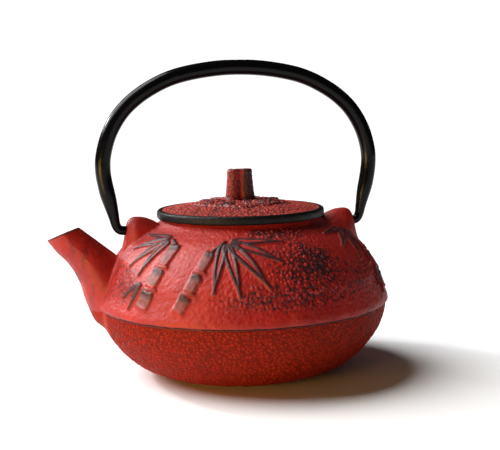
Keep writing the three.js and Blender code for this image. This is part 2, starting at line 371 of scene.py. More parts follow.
def pot_blank():
    """The casting without its relief: outside, spout and lugs, hollowed out."""
    gap = 0.43 if FINE else 1.2
    around = 980 if FINE else 340
    pot = turned("pot_casting", pot_outline(gap), around)
    spout = make_object("spout", *tube_mesh(spout_rings(110 if FINE else 50, 120 if FINE else 60, ridge=1.7)))
    lugs = [make_object("lug", *tube_mesh(lug_rings(side))) for side in (-1, 1)]
    combine(pot, [spout, *lugs], "UNION")
    inside = even(spline(INSIDE_WALL, 200), 1.4)
    cavity = np.concatenate([[(0, 4.4), (20, 4.4)], inside, [(31, 72), (34, 72), (34, 80), (0, 80)]])
    bore = make_object("bore", *tube_mesh(spout_rings(50, 60, SPOUT_WALL, 3)))
    holes = [
        cylinder("hole", 2.7, (side * 47.8, 0, HINGE_HEIGHT), (side * 62, 0, HINGE_HEIGHT)) for side in (-1, 1)
    ]
    combine(pot, [turned("cavity", cavity, 160), bore, *holes], "DIFFERENCE")
    return pot


def blend_junctions(pot):
    """Turns the sharp lines where spout and lugs leave the wall into the soft corners of a casting."""
    co = coordinates(pot)
    radius = np.hypot(co[:, 0], co[:, 1])
    wall = radius - outside_radius(co[:, 2])
    outer = wall > -0.5
    for distance, reach in ((spout_distance(co), 3.4), (lug_distance(co), 2.4)):
        weight = smoothstep(reach, 0.4, np.maximum(np.abs(wall), np.abs(distance))) * outer
        hook = np.hypot(co[:, 1], co[:, 2] - HINGE_HEIGHT) < 3.4
        weight[hook] = 0
        relax(pot, weight, 30 if FINE else 10)


# ---------------------------------------------------------------- the relief of bamboo

# A path is a line of (angle, height) points on the shell. A grove is drawn by rule: two stems of jointed
# bamboo that lean apart, with fans of leaves, and it is cast at even turns round the pot.
GROVE_ANGLE = -38
GROVES = 3
REPEATS = [360 / GROVES * k for k in range(GROVES)]
STEM_FOOT = 40.5
JOINT_GAP = 1.1
# Each stem: where it stands from the grove's middle, how far it leans, its top, its joints and its half width.
STEMS = [(-14, 6, 68, 3, 3.7), (2, 10, 66, 3, 3.0)]
# Each fan of leaves: its place from the grove's middle, its height, where its middle leaf points in degrees
# from straight down towards +angle, how many leaves it has, the turn between them, and their length.
FANS = [(-14, 69, -58, 4, 25, 25), (18, 69, 42, 5, 24, 32), (-17, 52, -38, 2, 34, 13)]
LEAF_SLENDER = 0.105
LEAF_RISE = 1.0
LEAF_SAG = 2.0
SHELL_CLIMB = np.concatenate([[0], np.cumsum(np.linalg.norm(np.diff(SHELL_LINE, axis=0), axis=1))])


def across_shell(angle, height, across, down):
    """The (angle, height) of the point that lies so many millimetres across and down the shell from another."""
    climb = np.interp(height, SHELL_LINE[:, 1], SHELL_CLIMB) - down
    there = float(np.interp(climb, SHELL_CLIMB, SHELL_LINE[:, 1]))
    return angle + math.degrees(across / float(shell_radius(there))), there


def stem_parts(foot, lean, top, joints, half):
    """A stem's lengths between its joints, as stalks, and the raised rings between them, as lines."""
    lengths, rings = [], []
    tall = (top - STEM_FOOT) / joints
    for k in range(joints):
        low, high = STEM_FOOT + tall * k, STEM_FOOT + tall * (k + 1) - JOINT_GAP
        slope = lean / (top - STEM_FOOT)
        ends = [(GROVE_ANGLE + foot + slope * (height - STEM_FOOT), height) for height in (high, low)]
        thick = half * (1 - 0.08 * k)
        lengths.append((ends, thick, thick, 1.1))
        if k:
            ring = [across_shell(*ends[1], side * (thick + 0.7), JOINT_GAP / 2) for side in (-1, 1)]
            rings.append((ring, 0.65, 1.2, 0.4))
    return lengths, rings


def fan_leaves(place, height, pointing, count, between, length):
    """Leaves that spread from one point, the middle ones longest, each bending a little downwards."""
    leaves = []
    for k in range(count):
        off = k - (count - 1) / 2
        way = math.radians(pointing + between * off)
        reach = length * (1 - 0.09 * abs(off))
        path = []
        for t in (0.1, 0.55, 1.0):
            down = math.cos(way) * reach * t + LEAF_SAG * t * t
            path.append(across_shell(GROVE_ANGLE + place, height, math.sin(way) * reach * t, down))
        leaves.append((path, LEAF_SLENDER * reach, LEAF_RISE, 0.95, 0.85))
    return leaves


def twig(stem, fan):
    """A thin twig from the top of a stem to the root of a fan."""
    foot, lean, top = stem[:3]
    return ([(GROVE_ANGLE + foot + lean, top - JOINT_GAP), (GROVE_ANGLE + fan[0], fan[1])], 0.7, 0.9, 0.9)


# Each stalk: its path, half its width at both ends, and how high it stands.
STALKS = [part for stem in STEMS for part in stem_parts(*stem)[0]]
# Each line: its path, its half width, its rise and its ink.
LINES = [part for stem in STEMS for part in stem_parts(*stem)[1]] + [twig(*pair) for pair in zip(STEMS, FANS)]
# Each leaf: its path from root to tip, half its width, its rise, and the ink on its left and right edges.
LEAVES = [leaf for fan in FANS for leaf in fan_leaves(*fan)]


def on_shell(angle, height):
    """The point of the shell's surface in a direction and at a height, and the way it faces."""
    a = math.radians(angle)
    r = float(shell_radius(height))
    slope = float(shell_radius(height + 0.5) - shell_radius(height - 0.5))
    return (r * math.sin(a), -r * math.cos(a), height), (math.sin(a), -math.cos(a), -slope)


def follow(co, path, turn):
    """The points near a path: which they are, how far along (0 to 1) and aside they lie, and its length."""
    line, facing = (np.array(v) for v in zip(*[on_shell(a + turn, h) for a, h in spline(path, 8)]))
    steps = np.diff(line, axis=0)
    lengths = np.linalg.norm(steps, axis=1)
    total = lengths.sum()
    near = np.flatnonzero(np.linalg.norm(co - line.mean(axis=0), axis=1) < total / 2 + 8)
    best = np.full(len(near), 1e9)
    along, aside = np.zeros(len(near)), np.zeros(len(near))
    for k, length in enumerate(lengths):
        ahead = steps[k] / length
        gap = co[near] - line[k]
        low = -99 if k == 0 else 0
        high = 99 if k == len(lengths) - 1 else length
        reach = np.clip(gap @ ahead, low, high)
        gap = gap - reach[:, None] * ahead
        far = np.linalg.norm(gap, axis=1)
        closer = far < best
        best[closer] = far[closer]
        along[closer] = (lengths[:k].sum() + reach[closer]) / total
        aside[closer] = np.copysign(far, gap @ np.cross(ahead, facing[k]))[closer]
    return near, along, aside, total


def carve_stalks(co, rough, height, ink, wash):
    for turn in REPEATS:
        for path, first, last, rise in STALKS:
            near, along, aside, total = follow(co, path, turn)
            from_end = np.minimum(along, 1 - along) * total
            edge = first + (last - first) * np.clip(along, 0, 1) + 0.35 * rough[near]
            edge -= 0.5 * np.exp(-((np.maximum(from_end, 0) / 0.9) ** 2))
            inside = smoothstep(0.5, -0.7, np.abs(aside) - edge)
            inside = inside * smoothstep(-0.7, 0.8, from_end + 0.5 * rough[near])
            crown = np.sqrt(np.clip(1 - (aside / (edge + 0.4)) ** 2, 0, 1))
            swell = smoothstep(2.2, 0.8, from_end)
            shape = inside * rise * (0.7 + 0.3 * crown + 0.22 * swell + 0.08 * rough[near])
            height[near] = np.maximum(height[near], shape)
            kept = 0.35 + 0.65 * smoothstep(0.2, 3.5, (1 - along) * total + 1.2 * rough[near])
            wash[near] = np.maximum(wash[near], inside * kept * min(1.0, 0.25 + rise))
            dark = inside * smoothstep(4.6, 1.4, along * total + rough[near]) * min(1, rise) * 0.85
            ink[near] = np.maximum(ink[near], dark)


def carve_lines(co, rough, height, ink):
    for turn in REPEATS:
        for path, half, rise, dark in LINES:
            near, along, aside, total = follow(co, path, turn)
            ends = smoothstep(-0.4, 0.4, np.minimum(along, 1 - along) * total)
            ridge = np.clip(1 - (aside / (half + 0.35)) ** 2, 0, 1) * ends
            height[near] = np.maximum(height[near], rise * ridge)
            ink[near] = np.maximum(ink[near], dark * smoothstep(0.1, 0.5, ridge + 0.2 * rough[near]) * ends)


def carve_leaves(co, rough, height, ink):
    """Each leaf is two raised blades that meet at its tip, with a thin vein in the hollow between them."""
    cover = np.zeros(len(co))
    for turn in REPEATS:
        for path, half, rise, left, right in LEAVES:
            near, along, aside, total = follow(co, path, turn)
            t = np.clip(along, 0, 1)
            root = np.sqrt(np.clip((along * total + 0.7) / 3.5, 0, 1))
            wide = half * np.cos(math.pi / 2 * t**1.3) * (0.3 + 0.7 * root) + 0.14 * rough[near]
            band = (0.48 + 0.24 * half) * (1 - 0.35 * t)
            span = smoothstep(-0.9, 0.2, along * total) * smoothstep(-0.6, 0.4, (1 - along) * total)
            ridge = np.abs(np.abs(aside) - np.maximum(wide - band, 0))
            blade = np.clip(1 - (ridge / (band + 0.25)) ** 2, 0, 1) * span
            inside = smoothstep(wide + 0.2, wide - 0.3, np.abs(aside)) * span
            vein = np.exp(-((aside / 0.32) ** 2)) * inside * smoothstep(0.95, 0.6, t)
            height[near] = np.maximum(height[near], rise * np.maximum(blade, 0.3 * inside + 0.35 * vein))
            dark = np.where(aside > 0, left, right) * smoothstep(0.3, 0.7, blade + 0.12 * rough[near])
            ink[near] = np.maximum(ink[near], dark)
            cover[near] = np.maximum(cover[near], inside)
    return cover


def patch(angle, height, middle, spread, at, tall):
    """A soft oval patch on the shell."""
    turn = (angle - middle + 180) % 360 - 180
    return np.exp(-((turn / spread) ** 2) - ((height - at) / tall) ** 2)


def pebbled_ground(angle, height):
    """How strongly the ground is pebbled round the shell, from 0 to 1."""
    total = np.zeros(len(angle))
    for turn in REPEATS:
        total += 1.1 * patch(angle, height, 20 + turn, 15, 58, 12)
        total += 0.8 * patch(angle, height, 4 + turn, 20, 48, 8)
        total += 1.0 * patch(angle, height, 9 + turn, 20, 71.5, 2)
        total += 0.6 * patch(angle, height, -66 + turn, 10, 50, 9)
        total += 0.35 * patch(angle, height, -16 + turn, 9, 46, 5)
    return np.clip(total + 0.15, 0, 1)


def inked_ground(angle, height):
    """How much of the ground is brushed near-black round the shell, from 0 to 1."""
    total = np.zeros(len(angle))
    for turn in REPEATS:
        total += 0.3 * patch(angle, height, 22 + turn, 10, 61, 7)
        total += 0.34 * patch(angle, height, 12 + turn, 16, 58, 10)
        total += 0.42 * patch(angle, height, 9 + turn, 20, 71.4, 1.9)
        total += 0.34 * patch(angle, height, 2 + turn, 24, 46, 5.5)
        total += 0.22 * patch(angle, height, -64 + turn, 12, 49, 8)
        total += 0.26 * patch(angle, height, 38 + turn, 16, 52, 12)
    return np.clip(total, 0, 0.56)


def add_relief(pot):
    """Raises the relief, the pebbles and the grain of the bowl, and keeps the masks that the paint follows."""
    co = coordinates(pot)
    out = normals(pot)
    radius = np.hypot(co[:, 0], co[:, 1])
    height = co[:, 2]
    angle = np.degrees(np.arctan2(co[:, 0], -co[:, 1]))
    wall = radius - outside_radius(height)
    spout = spout_distance(co)
    lug = lug_distance(co)
    outer = (wall > -0.9) & (height < NECK_TOP - 0.2)
    outer |= (spout > -1.1) & (spout < 50) & (wall > -0.9)
    outer |= (height > 69.5) & (radius > NECK_RADIUS - 0.3)
    clear = smoothstep(1.2, 4.5, spout) * smoothstep(0.8, 3, lug)
    ground = outer * (np.abs(wall) < 1.2) * clear

    rough = clouds(co, 2.2)
    soft = clouds(co, 9, 5.0)
    grain = clouds(co, 0.9, 9.0)
    blot = clouds(co * [1, 1, 0.8], 1.05, 11.0) + 0.25 * clouds(co, 2.6, 17.0)
    fine = smoothstep(0.03, 0.45, cells(co, 1.6))
    coarse = smoothstep(0.04, 0.5, cells(co, 1.85, (1, 1, 0.85)) + 0.05 * grain)

    relief, ink, wash = np.zeros(len(co)), np.zeros(len(co)), np.zeros(len(co))
    cover = carve_leaves(co, rough, relief, ink)
    carve_stalks(co, rough, relief, ink, wash)
    carve_lines(co, rough, relief, ink)
    cover = np.maximum(cover, np.clip(relief * 3, 0, 1))

    on_shell_part = smoothstep(SEAM + 0.4, SEAM + 1.2, height)
    on_bowl = 1 - smoothstep(SEAM - 1.2, SEAM - 0.4, height)
    shell_fade = on_shell_part * smoothstep(NECK_TOP - 1, NECK_TOP - 2.5, height) * ground
    bowl_fade = on_bowl * smoothstep(2.5, 7, height) * ground
    pebbled = pebbled_ground(angle, height) * (1 - cover) * shell_fade

    lift = 0.9 * relief * shell_fade
    lift += 0.5 * pebbled * (coarse - 0.45)
    lift += (0.1 * rough + 0.04 * grain + 0.12 * soft) * shell_fade * (1 - 0.6 * cover)
    lift += bowl_fade * (0.5 * (fine - 0.65) + 0.06 * rough)
    lift += 0.08 * rough * outer * (1 - np.minimum(shell_fade + bowl_fade, 1))
    near_seam = np.exp(-(((height - SEAM - 0.2) / 0.8) ** 2)) * ground
    lift += near_seam * (0.22 * clouds(co * [1, 1, 0.2], 4, 2.0) - 0.12)
    co = co + out * lift[:, None]
    co[:, 2] = np.maximum(co[:, 2], LOWEST)
    set_coordinates(pot, co)

    share = inked_ground(angle, height) * (1 - cover) * shell_fade
    spots = share * (1 + 0.4 * soft) - 0.5 + 0.55 * blot + 0.16 * (1 - coarse)
    spots = 0.85 * smoothstep(-0.07, 0.07, spots) * smoothstep(0.05, 0.15, share)
    spots = np.maximum(spots, 0.5 * share * (0.7 + 0.6 * rough))
    streaks = smoothstep(0.1, 0.6, clouds(co * [1, 1, 0.3], 3.4, 14.0) + 0.5 * grain)
    streaks *= smoothstep(2.0, 0.5, np.abs(spout)) * smoothstep(-58, -66, co[:, 0]) * outer
    spots = np.maximum(spots, 0.42 * streaks)
    # Painted shadow: the groove under the seam is darkened as the shadow of the shell's overhanging edge.
    groove = np.exp(-(((height - SEAM + 0.35) / 0.42) ** 2)) * (np.abs(wall) < 2) * clear
    # Painted shade: a wavy dark band just above the seam thickens the seam's shadow line.
    seam_shade = smoothstep(0.1, 0.5, clouds(co, 5, 3.0)) * np.exp(-(((height - SEAM - 0.9) / 0.8) ** 2)) * ground
    # Painted shade: a band round the spout's mouth is darkened as the dark of the opening.
    lip = smoothstep(1.3, 0.5, np.abs(mouth_distance(co))) * (co[:, 0] < -70)
    paint(pot, "ink_and_shade", np.clip(np.maximum(ink * shell_fade, spots) + 0.35 * seam_shade, 0, 1))
    paint(pot, "washed", np.clip(wash * shell_fade, 0, 1))
    # Painted shade: the hollows between the bowl's grain and between the shell's pebbles are darkened, together with
    # the seam's groove.
    paint(pot, "crevice_shade", np.clip(groove + bowl_fade * (1 - fine) * 0.68 + 0.45 * pebbled * (1 - coarse), 0, 1))
    paint(pot, "bowl", np.clip(on_bowl * outer, 0, 1))
    paint(pot, "lining", 1.0 - outer)
    paint(pot, "mouth_shade", np.clip(lip, 0, 1))


# ---------------------------------------------------------------- materials


class Nodes:
    """Short names for building a material."""

    def __init__(self, name):
        self.material = bpy.data.materials.new(name)
        self.material.use_nodes = True
        self.tree = self.material.node_tree
        self.shader = self.tree.nodes["Principled BSDF"]
        self.position = self.add("ShaderNodeTexCoord").outputs["Object"]

    def add(self, kind, **values):
        node = self.tree.nodes.new(kind)
        for key, value in values.items():
            setattr(node, key, value)
        return node

    def link(self, source, target):
        self.tree.links.new(source, target)

    def mask(self, name):
        return self.add("ShaderNodeAttribute", attribute_name=name).outputs["Fac"]

    def noise(self, scale, detail=3.0, rough=0.5, at=None):
        node = self.add("ShaderNodeTexNoise")
        node.inputs["Scale"].default_value = scale
        node.inputs["Detail"].default_value = detail
        node.inputs["Roughness"].default_value = rough
        self.link(at or self.position, node.inputs["Vector"])
        return node.outputs["Fac"]

    def math(self, operation, a, b=0.0):
        node = self.add("ShaderNodeMath", operation=operation, use_clamp=False)
        for socket, value in zip(node.inputs, (a, b)):
            if isinstance(value, (int, float)):
                socket.default_value = value
            else:
                self.link(value, socket)
        return node.outputs[0]

    def ramp(self, source, low, high, start=0.0, end=1.0):
        node = self.add("ShaderNodeMapRange", clamp=True)
        for key, value in (("From Min", low), ("From Max", high), ("To Min", start), ("To Max", end)):
            node.inputs[key].default_value = value
        self.link(source, node.inputs["Value"])
        return node.outputs["Result"]

    def mix(self, share, a, b):
        node = self.add("ShaderNodeMix", data_type="RGBA")
        for key, value in (("Factor", share), ("A", a), ("B", b)):
            socket = [s for s in node.inputs if s.name == key and s.enabled][0]
            if isinstance(value, (int, float)):
                socket.default_value = value
            elif isinstance(value, tuple):
                socket.default_value = (*value, 1.0)
            else:
                self.link(value, socket)
        return [s for s in node.outputs if s.enabled][0]

    def bump(self, source, strength, distance, below=None):
        node = self.add("ShaderNodeBump")
        node.inputs["Strength"].default_value = strength
        node.inputs["Distance"].default_value = distance
        self.link(source, node.inputs["Height"])
        if below:
            self.link(below, node.inputs["Normal"])
        return node.outputs["Normal"]

    def set(self, **values):
        for key, value in values.items():
            socket = self.shader.inputs[key.replace("_", " ")]
            if isinstance(value, (int, float)):
                socket.default_value = value
            elif isinstance(value, tuple):
                socket.default_value = (*value, 1.0)
            else:
                self.link(value, socket)
        return self.material


def rgb(red, green, blue):
    """A colour given as a screen colour, 0 to 255, as the linear numbers that shaders use."""
    return tuple(((c / 255 + 0.055) / 1.055) ** 2.4 if c > 10 else c / 255 / 12.92 for c in (red, green, blue))


RED = rgb(162, 30, 19)
RED_DEEP = rgb(138, 20, 12)
RED_LIGHT = rgb(184, 56, 36)
# A lighter pink that is a painted highlight, for the sheen on the lid's top.
SHEEN_PINK = rgb(204, 84, 68)
RUST = rgb(142, 36, 10)
# A dark brown that is painted shade in the hollows of the bowl's grain.
HOLLOW_SHADE = rgb(30, 6, 3)
# Near-black for the ink laid on with a brush, and also for the painted shade of the shell's hollows and the spout's
# mouth.
INK_AND_SHADE = rgb(50, 20, 24)
WASH = rgb(102, 58, 52)
BLACK = rgb(12, 10, 10)


def red_paint(name, sheen_share=0.0):
    """Thin red enamel on cast iron, with near-black ink laid on with a brush over the raised parts, painted shade
    darkening the hollows, the seam and the spout's mouth, and a share of lighter pink that is a painted highlight.
    """
    n = Nodes(name)
    tone = n.noise(55, 3)
    blotch = n.noise(190, 4, 0.6)
    red = n.mix(n.ramp(tone, 0.35, 0.7), RED_DEEP, RED)
    red = n.mix(n.ramp(blotch, 0.5, 0.85, 0, 0.5), red, RED_LIGHT)
    # Painted highlight: a share of lighter pink stands in for sheen.
    red = n.mix(sheen_share, red, SHEEN_PINK)
    red = n.mix(n.math("MULTIPLY", n.mask("bowl"), 0.7), red, RUST)
    # Painted shade: where the hollows' mask is high, the red is darkened towards near-black, and towards dark brown
    # on the bowl.
    hollow = n.mix(n.mask("bowl"), INK_AND_SHADE, HOLLOW_SHADE)
    red = n.mix(n.ramp(n.mask("crevice_shade"), 0.15, 0.95, 0, 0.85), red, hollow)
    scuff = n.noise(700, 3, 0.6)
    washed = n.math("MULTIPLY", n.mask("washed"), n.ramp(scuff, 0.38, 0.58, 0.45, 1.0))
    red = n.mix(n.ramp(washed, 0.15, 0.8, 0, 0.92), red, WASH)
    # This mask is mostly ink laid on with a brush. It also carries painted shade along the seam, round the lid's
    # plateau and on the knob's right stub.
    ink_and_shade = n.math("MULTIPLY", n.mask("ink_and_shade"), n.ramp(scuff, 0.3, 0.62, 0.72, 1.05))
    ink_and_shade = n.ramp(ink_and_shade, 0.08, 0.8)
    red = n.mix(ink_and_shade, red, INK_AND_SHADE)
    # Painted shade: the band round the spout's mouth turns near-black.
    red = n.mix(n.ramp(n.mask("mouth_shade"), 0.3, 0.9, 0, 0.75), red, INK_AND_SHADE)
    red = n.mix(n.mask("lining"), red, BLACK)
    grit = n.noise(1500, 3, 0.6)
    rough = n.ramp(n.noise(420, 3), 0.3, 0.7, 0.4, 0.55)
    normal = n.bump(grit, 0.35, 0.00035)
    normal = n.bump(n.noise(520, 3, 0.55), 0.4, 0.0006, normal)
    dull = n.math("MAXIMUM", n.mask("bowl"), n.math("MULTIPLY", n.mask("lining"), 0.55))
    sheen = n.ramp(dull, 0.2, 0.8, 0.36, 0.06)
    return n.set(Base_Color=red, Roughness=rough, Normal=normal, Metallic=0.0, Specular_IOR_Level=sheen)


def black_gloss(name, rough=0.16):
    """Smooth baked black enamel with faint brown where it has worn thin."""
    n = Nodes(name)
    thin = n.ramp(n.noise(38, 3), 0.5, 0.75, 0, 0.35)
    colour = n.mix(thin, rgb(6, 6, 8), rgb(20, 12, 8))
    gloss = n.ramp(n.noise(160, 3), 0.3, 0.75, rough, rough + 0.08)
    normal = n.bump(n.noise(240, 2), 0.12, 0.0006)
    return n.set(Base_Color=colour, Roughness=gloss, Normal=normal, Specular_IOR_Level=0.13)


def bright_steel(name, rough=0.25):
    """Pressed stainless steel with fine drawing marks round it."""
    n = Nodes(name)
    lines = n.noise(900, 2)
    colour = n.mix(n.ramp(lines, 0.3, 0.7), rgb(176, 178, 180), rgb(206, 207, 208))
    gloss = n.ramp(n.noise(300, 3), 0.3, 0.7, rough, rough + 0.12)
    return n.set(Base_Color=colour, Roughness=gloss, Metallic=1.0, Normal=n.bump(lines, 0.08, 0.0002))


def dress(made, material, body, slot, *nodes):
    """Gives a finished piece its material and its body, and hides the CAD nodes that it stands for. The slot is not
    used.
    """
    made.data.materials.clear()
    made.data.materials.append(material)
    smooth_shading(made)
    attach(made, body)
    if nodes:
        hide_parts(*nodes)
    return made


# ---------------------------------------------------------------- pieces


def build_pot():
    pot = pot_blank()
    blend_junctions(pot)
    add_relief(pot)
    dress(pot, red_paint("red_enamel"), "pot", "red_enamelled_iron", "pot_body", "spout")


LID_UNDER = 75.6
LID_RADIUS = 40.5
LID_CROWN = 83.0
# Leaves cast round the knob: the way each points, its start and end from the axis, half its width, its ink.
LID_LEAVES = [
    (-32, 9.5, 22.5, 3.4, 1.0), (2, 8, 17, 2.2, 0.9), (28, 8, 19, 2.4, 0.8), (62, 9, 21, 2.6, 0.5),
    (100, 9, 22, 3.0, 0.9), (140, 8, 20, 2.4, 0.5), (178, 9, 22, 2.8, 0.9), (-145, 8, 20, 2.4, 0.6),
    (-108, 9, 22, 3.0, 0.8), (-68, 8, 19, 2.2, 0.5),
]


def lid_outline():
    """The lid's section, which closes on itself round the hole for the knob's shank."""
    rolled = [(2.1, 0), (1.6, -0.4), (0.8, -0.5), (0.2, 0), (0, 1.2), (0.1, 2.5), (0.6, 3.3), (1.5, 3.6), (2.4, 3.4)]
    edge = [(LID_RADIUS - inwards, LID_UNDER + up) for inwards, up in rolled]
    top = [
        (LID_RADIUS - 2.9, LID_UNDER + 3.3), (36, LID_UNDER + 3.6), (32, LID_UNDER + 4.3), (27, LID_UNDER + 5.1),
        (20, LID_UNDER + 6.0), (12, LID_UNDER + 6.6), (6, LID_UNDER + 6.8), (2.5, LID_UNDER + 6.8),
    ]
    under = [(2.5, 78.2), (24, 77.6), (30, 76.0), (30, 74.0), (32.8, 74.0), (32.8, LID_UNDER)]
    gap = 0.42 if FINE else 1.0
    return np.concatenate([under, even(spline(edge, 60), 0.35), even(spline(top, 120), gap), under[:1]])


def lid_leaves(angle, radius, rough):
    """The leaves' height and ink on the lid's top."""
    height, ink = np.zeros(len(angle)), np.zeros(len(angle))
    for way, start, end, half, dark in LID_LEAVES:
        turn = (angle - way + 180) % 360 - 180
        along = (radius * np.cos(np.radians(turn)) - start) / (end - start)
        aside = np.abs(radius * np.sin(np.radians(turn))) * np.where(np.abs(turn) < 80, 1, 99)
        t = np.clip(along, 0, 1)
        wide = half * 1.9 * t**0.6 * (1 - t) ** 0.5 + 0.15 * rough
        span = smoothstep(-0.02, 0.05, along) * smoothstep(1.02, 0.96, along)
        inside = smoothstep(wide + 0.2, wide - 0.5, aside) * span
        vein = np.exp(-((aside / 0.35) ** 2)) * inside
        height = np.maximum(height, 0.55 * inside - 0.3 * vein)
        ink = np.maximum(ink, 0.8 * dark * inside * smoothstep(0.1, 0.6, t + 0.4 * rough))
    return height, ink


def build_lid():
    """The lid: a black rolled edge, a pebbled top, and a raised patch of leaves round the knob."""
    line = lid_outline()
    rings = turned_rings(line, 620 if FINE else 240)
    lid = make_object("lid_casting", rings.reshape(-1, 3).tolist(), grid_faces(len(line), rings.shape[1]))

    co = coordinates(lid)
    radius = np.hypot(co[:, 0], co[:, 1])
    angle = np.degrees(np.arctan2(co[:, 0], -co[:, 1]))
    upper = (normals(lid)[:, 2] > 0.3) & (co[:, 2] > LID_UNDER + 2.6) & (radius < LID_RADIUS - 2.4)
    rough = clouds(co, 2.0, 4.0)
    grain = clouds(co, 0.8, 3.0)
    lobes = 21.2 + 1.0 * np.cos(np.radians(5 * angle) + 0.6) + 0.7 * np.cos(np.radians(9 * angle) + 2.0)
    lobes += 0.6 * rough
    plateau = smoothstep(lobes + 0.6, lobes - 0.6, radius) * upper
    coarse = smoothstep(0.04, 0.45, cells(co, 1.7) + 0.05 * grain)
    field = upper * smoothstep(LID_RADIUS - 2.6, LID_RADIUS - 4, radius) * smoothstep(2.6, 4.5, radius)
    leaf, leaf_ink = lid_leaves(angle, radius, rough)
    lift = field * (0.4 * (coarse - 0.5) + 0.1 * rough + 0.8 * leaf * plateau)
    lift += 0.75 * plateau * smoothstep(2.5, 5, radius)
    co[:, 2] += lift
    set_coordinates(lid, co)

    rolled = (radius > LID_RADIUS - 2.6 + 0.15 * rough) & (co[:, 2] > LID_UNDER - 0.7)
    below = (~upper) & (radius < LID_RADIUS - 1.2)
    blot = clouds(co, 1.7, 8.0)
    share = 0.14 + 0.2 * plateau + 0.06 * np.cos(np.radians(angle - 25))
    spots = smoothstep(-0.05, 0.05, share - 0.53 + 0.55 * blot + 0.2 * (1 - coarse)) * field
    # Painted shade: a dark line round the foot of the raised plateau, as the shade at its step.
    foot = np.exp(-(((lobes + 0.9 - radius) / 0.6) ** 2)) * smoothstep(-0.3, 0.2, rough) * upper
    paint(lid, "ink_and_shade", np.clip(np.maximum(spots, leaf_ink * plateau) + 0.8 * foot, 0, 1))
    # Painted shade: the hollows between the lid's pebbles are darkened.
    paint(lid, "crevice_shade", np.clip(field * (1 - coarse) * 0.85, 0, 1))
    paint(lid, "lining", np.clip(rolled.astype(float) + below, 0, 1))
    for name in ("washed", "bowl", "mouth_shade"):
        paint(lid, name, np.zeros(len(co)))
    # The lid's enamel takes a share of painted highlight.
    dress(lid, red_paint("lid_enamel", sheen_share=0.45), "lid_assembly", "red_enamelled_iron", "lid")


KNOB_TOP = 98
STUB_RADIUS = 3.6
STUB_OFFSET = 3.1


def knob_stub(side):
    """One stub of bamboo, leaning a little on the other, with a dished top."""
    base = LID_CROWN - 0.6
    r = STUB_RADIUS
    line = spline(
        [
            (r + 1.3, base), (r + 0.8, base + 1.0), (r + 0.45, base + 2.4), (r + 0.2, base + 5), (r, base + 9),
            (r - 0.15, KNOB_TOP - 3.2), (r - 0.1, KNOB_TOP - 1.6), (r - 0.35, KNOB_TOP - 0.5),
            (r - 1.0, KNOB_TOP - 0.1), (r - 1.9, KNOB_TOP - 0.4), (0.6, KNOB_TOP - 0.7),
        ],
        70,
    )
    line = np.concatenate([[(0, base)], line, [(0, KNOB_TOP - 0.7)]])
    stub = turned("stub", line, 72)
    co = coordinates(stub)
    co[:, 0] += side * (STUB_OFFSET - 0.5 * smoothstep(base, KNOB_TOP, co[:, 2]))
    set_coordinates(stub, co)
    return stub


def build_knob():
    """The knob: two stubs of bamboo grown together, with the shank that is riveted under the lid."""
    knob = knob_stub(-1)
    knob.name = "bamboo_knob"
    head = 76.7
    shank = turned(
        "shank",
        [
            (0, head - 1.8), (1.6, head - 1.6), (3.0, head - 1.0), (3.6, head - 0.3), (3.6, head), (2.2, head),
            (2.2, LID_CROWN + 2), (0, LID_CROWN + 2),
        ],
        48,
    )
    combine(knob, [knob_stub(1), shank], "UNION")
    remesh = knob.modifiers.new("even", "REMESH")
    remesh.mode = "VOXEL"
    remesh.voxel_size = 0.00025 if FINE else 0.0006
    bake(knob)
    co = coordinates(knob)
    seam = smoothstep(2.0, 0.3, np.abs(co[:, 0])) * (co[:, 2] > LID_CROWN + 0.5)
    relax(knob, 0.2 + 0.6 * seam, 8)
    co = coordinates(knob)
    out = normals(knob)
    body = (co[:, 2] > LID_CROWN + 0.3).astype(float)
    rough = clouds(co, 1.5, 6.0)
    grain = clouds(co * [1, 1, 0.5], 0.45, 2.0)
    coarse = smoothstep(0.04, 0.4, cells(co, 1.1))
    joint = np.exp(-(((co[:, 2] - KNOB_TOP + 2.4) / 0.45) ** 2)) * body
    ridge = np.exp(-((co[:, 0] / 0.5) ** 2)) * body * (np.abs(out[:, 2]) < 0.6)
    lift = (0.1 * rough + 0.12 * (coarse - 0.5)) * (1 - ridge) - 0.1 * joint + 0.35 * ridge
    set_coordinates(knob, co + out * (lift * body)[:, None])
    facing = smoothstep(0.15, 0.55, np.abs(out[:, 1]) + 0.2 * rough) * (1 - smoothstep(1.1, 0.5, np.abs(co[:, 0])))
    rim = smoothstep(0.3, 0.9, 1 - np.abs(co[:, 2] - KNOB_TOP + 0.2) / 0.6)
    # Painted shade: the right stub's front takes more ink and the left stub's front less, following how the light
    # from the left falls; the rest is ink.
    right = np.sign(co[:, 0]) * (out[:, 1] < 0)
    speckle = smoothstep(-0.4, 0.05, grain + 0.25 * (coarse - 0.5) + 0.22 * right)
    inked_and_shaded = np.maximum(facing * speckle * (np.abs(out[:, 2]) < 0.75), 0.8 * rim * smoothstep(-0.4, 0.2, rough))
    paint(knob, "ink_and_shade", np.clip(0.95 * inked_and_shaded * body, 0, 1))
    # Painted shade: the hollows between the knob's cells are darkened.
    paint(knob, "crevice_shade", 0.5 * (1 - coarse) * body * (1 - ridge))
    paint(knob, "lining", 1 - body)
    for name in ("washed", "bowl", "mouth_shade"):
        paint(knob, name, np.zeros(len(co)))
    dress(knob, red_paint("knob_enamel"), "lid_assembly", "red_enamelled_iron", "lid_knob")


HANDLE_HALF = [
    (0, 146.4), (15.2, 145.4), (31.3, 142), (45, 135.4), (55.1, 127), (61.6, 117), (64.8, 107), (65.4, 99),
    (64.2, 90.4), (62.3, 82.4), (61.1, 77), (60.4, 73.6), (59, 71.2), (56.4, 70.5), (48.5, 70.5),
]


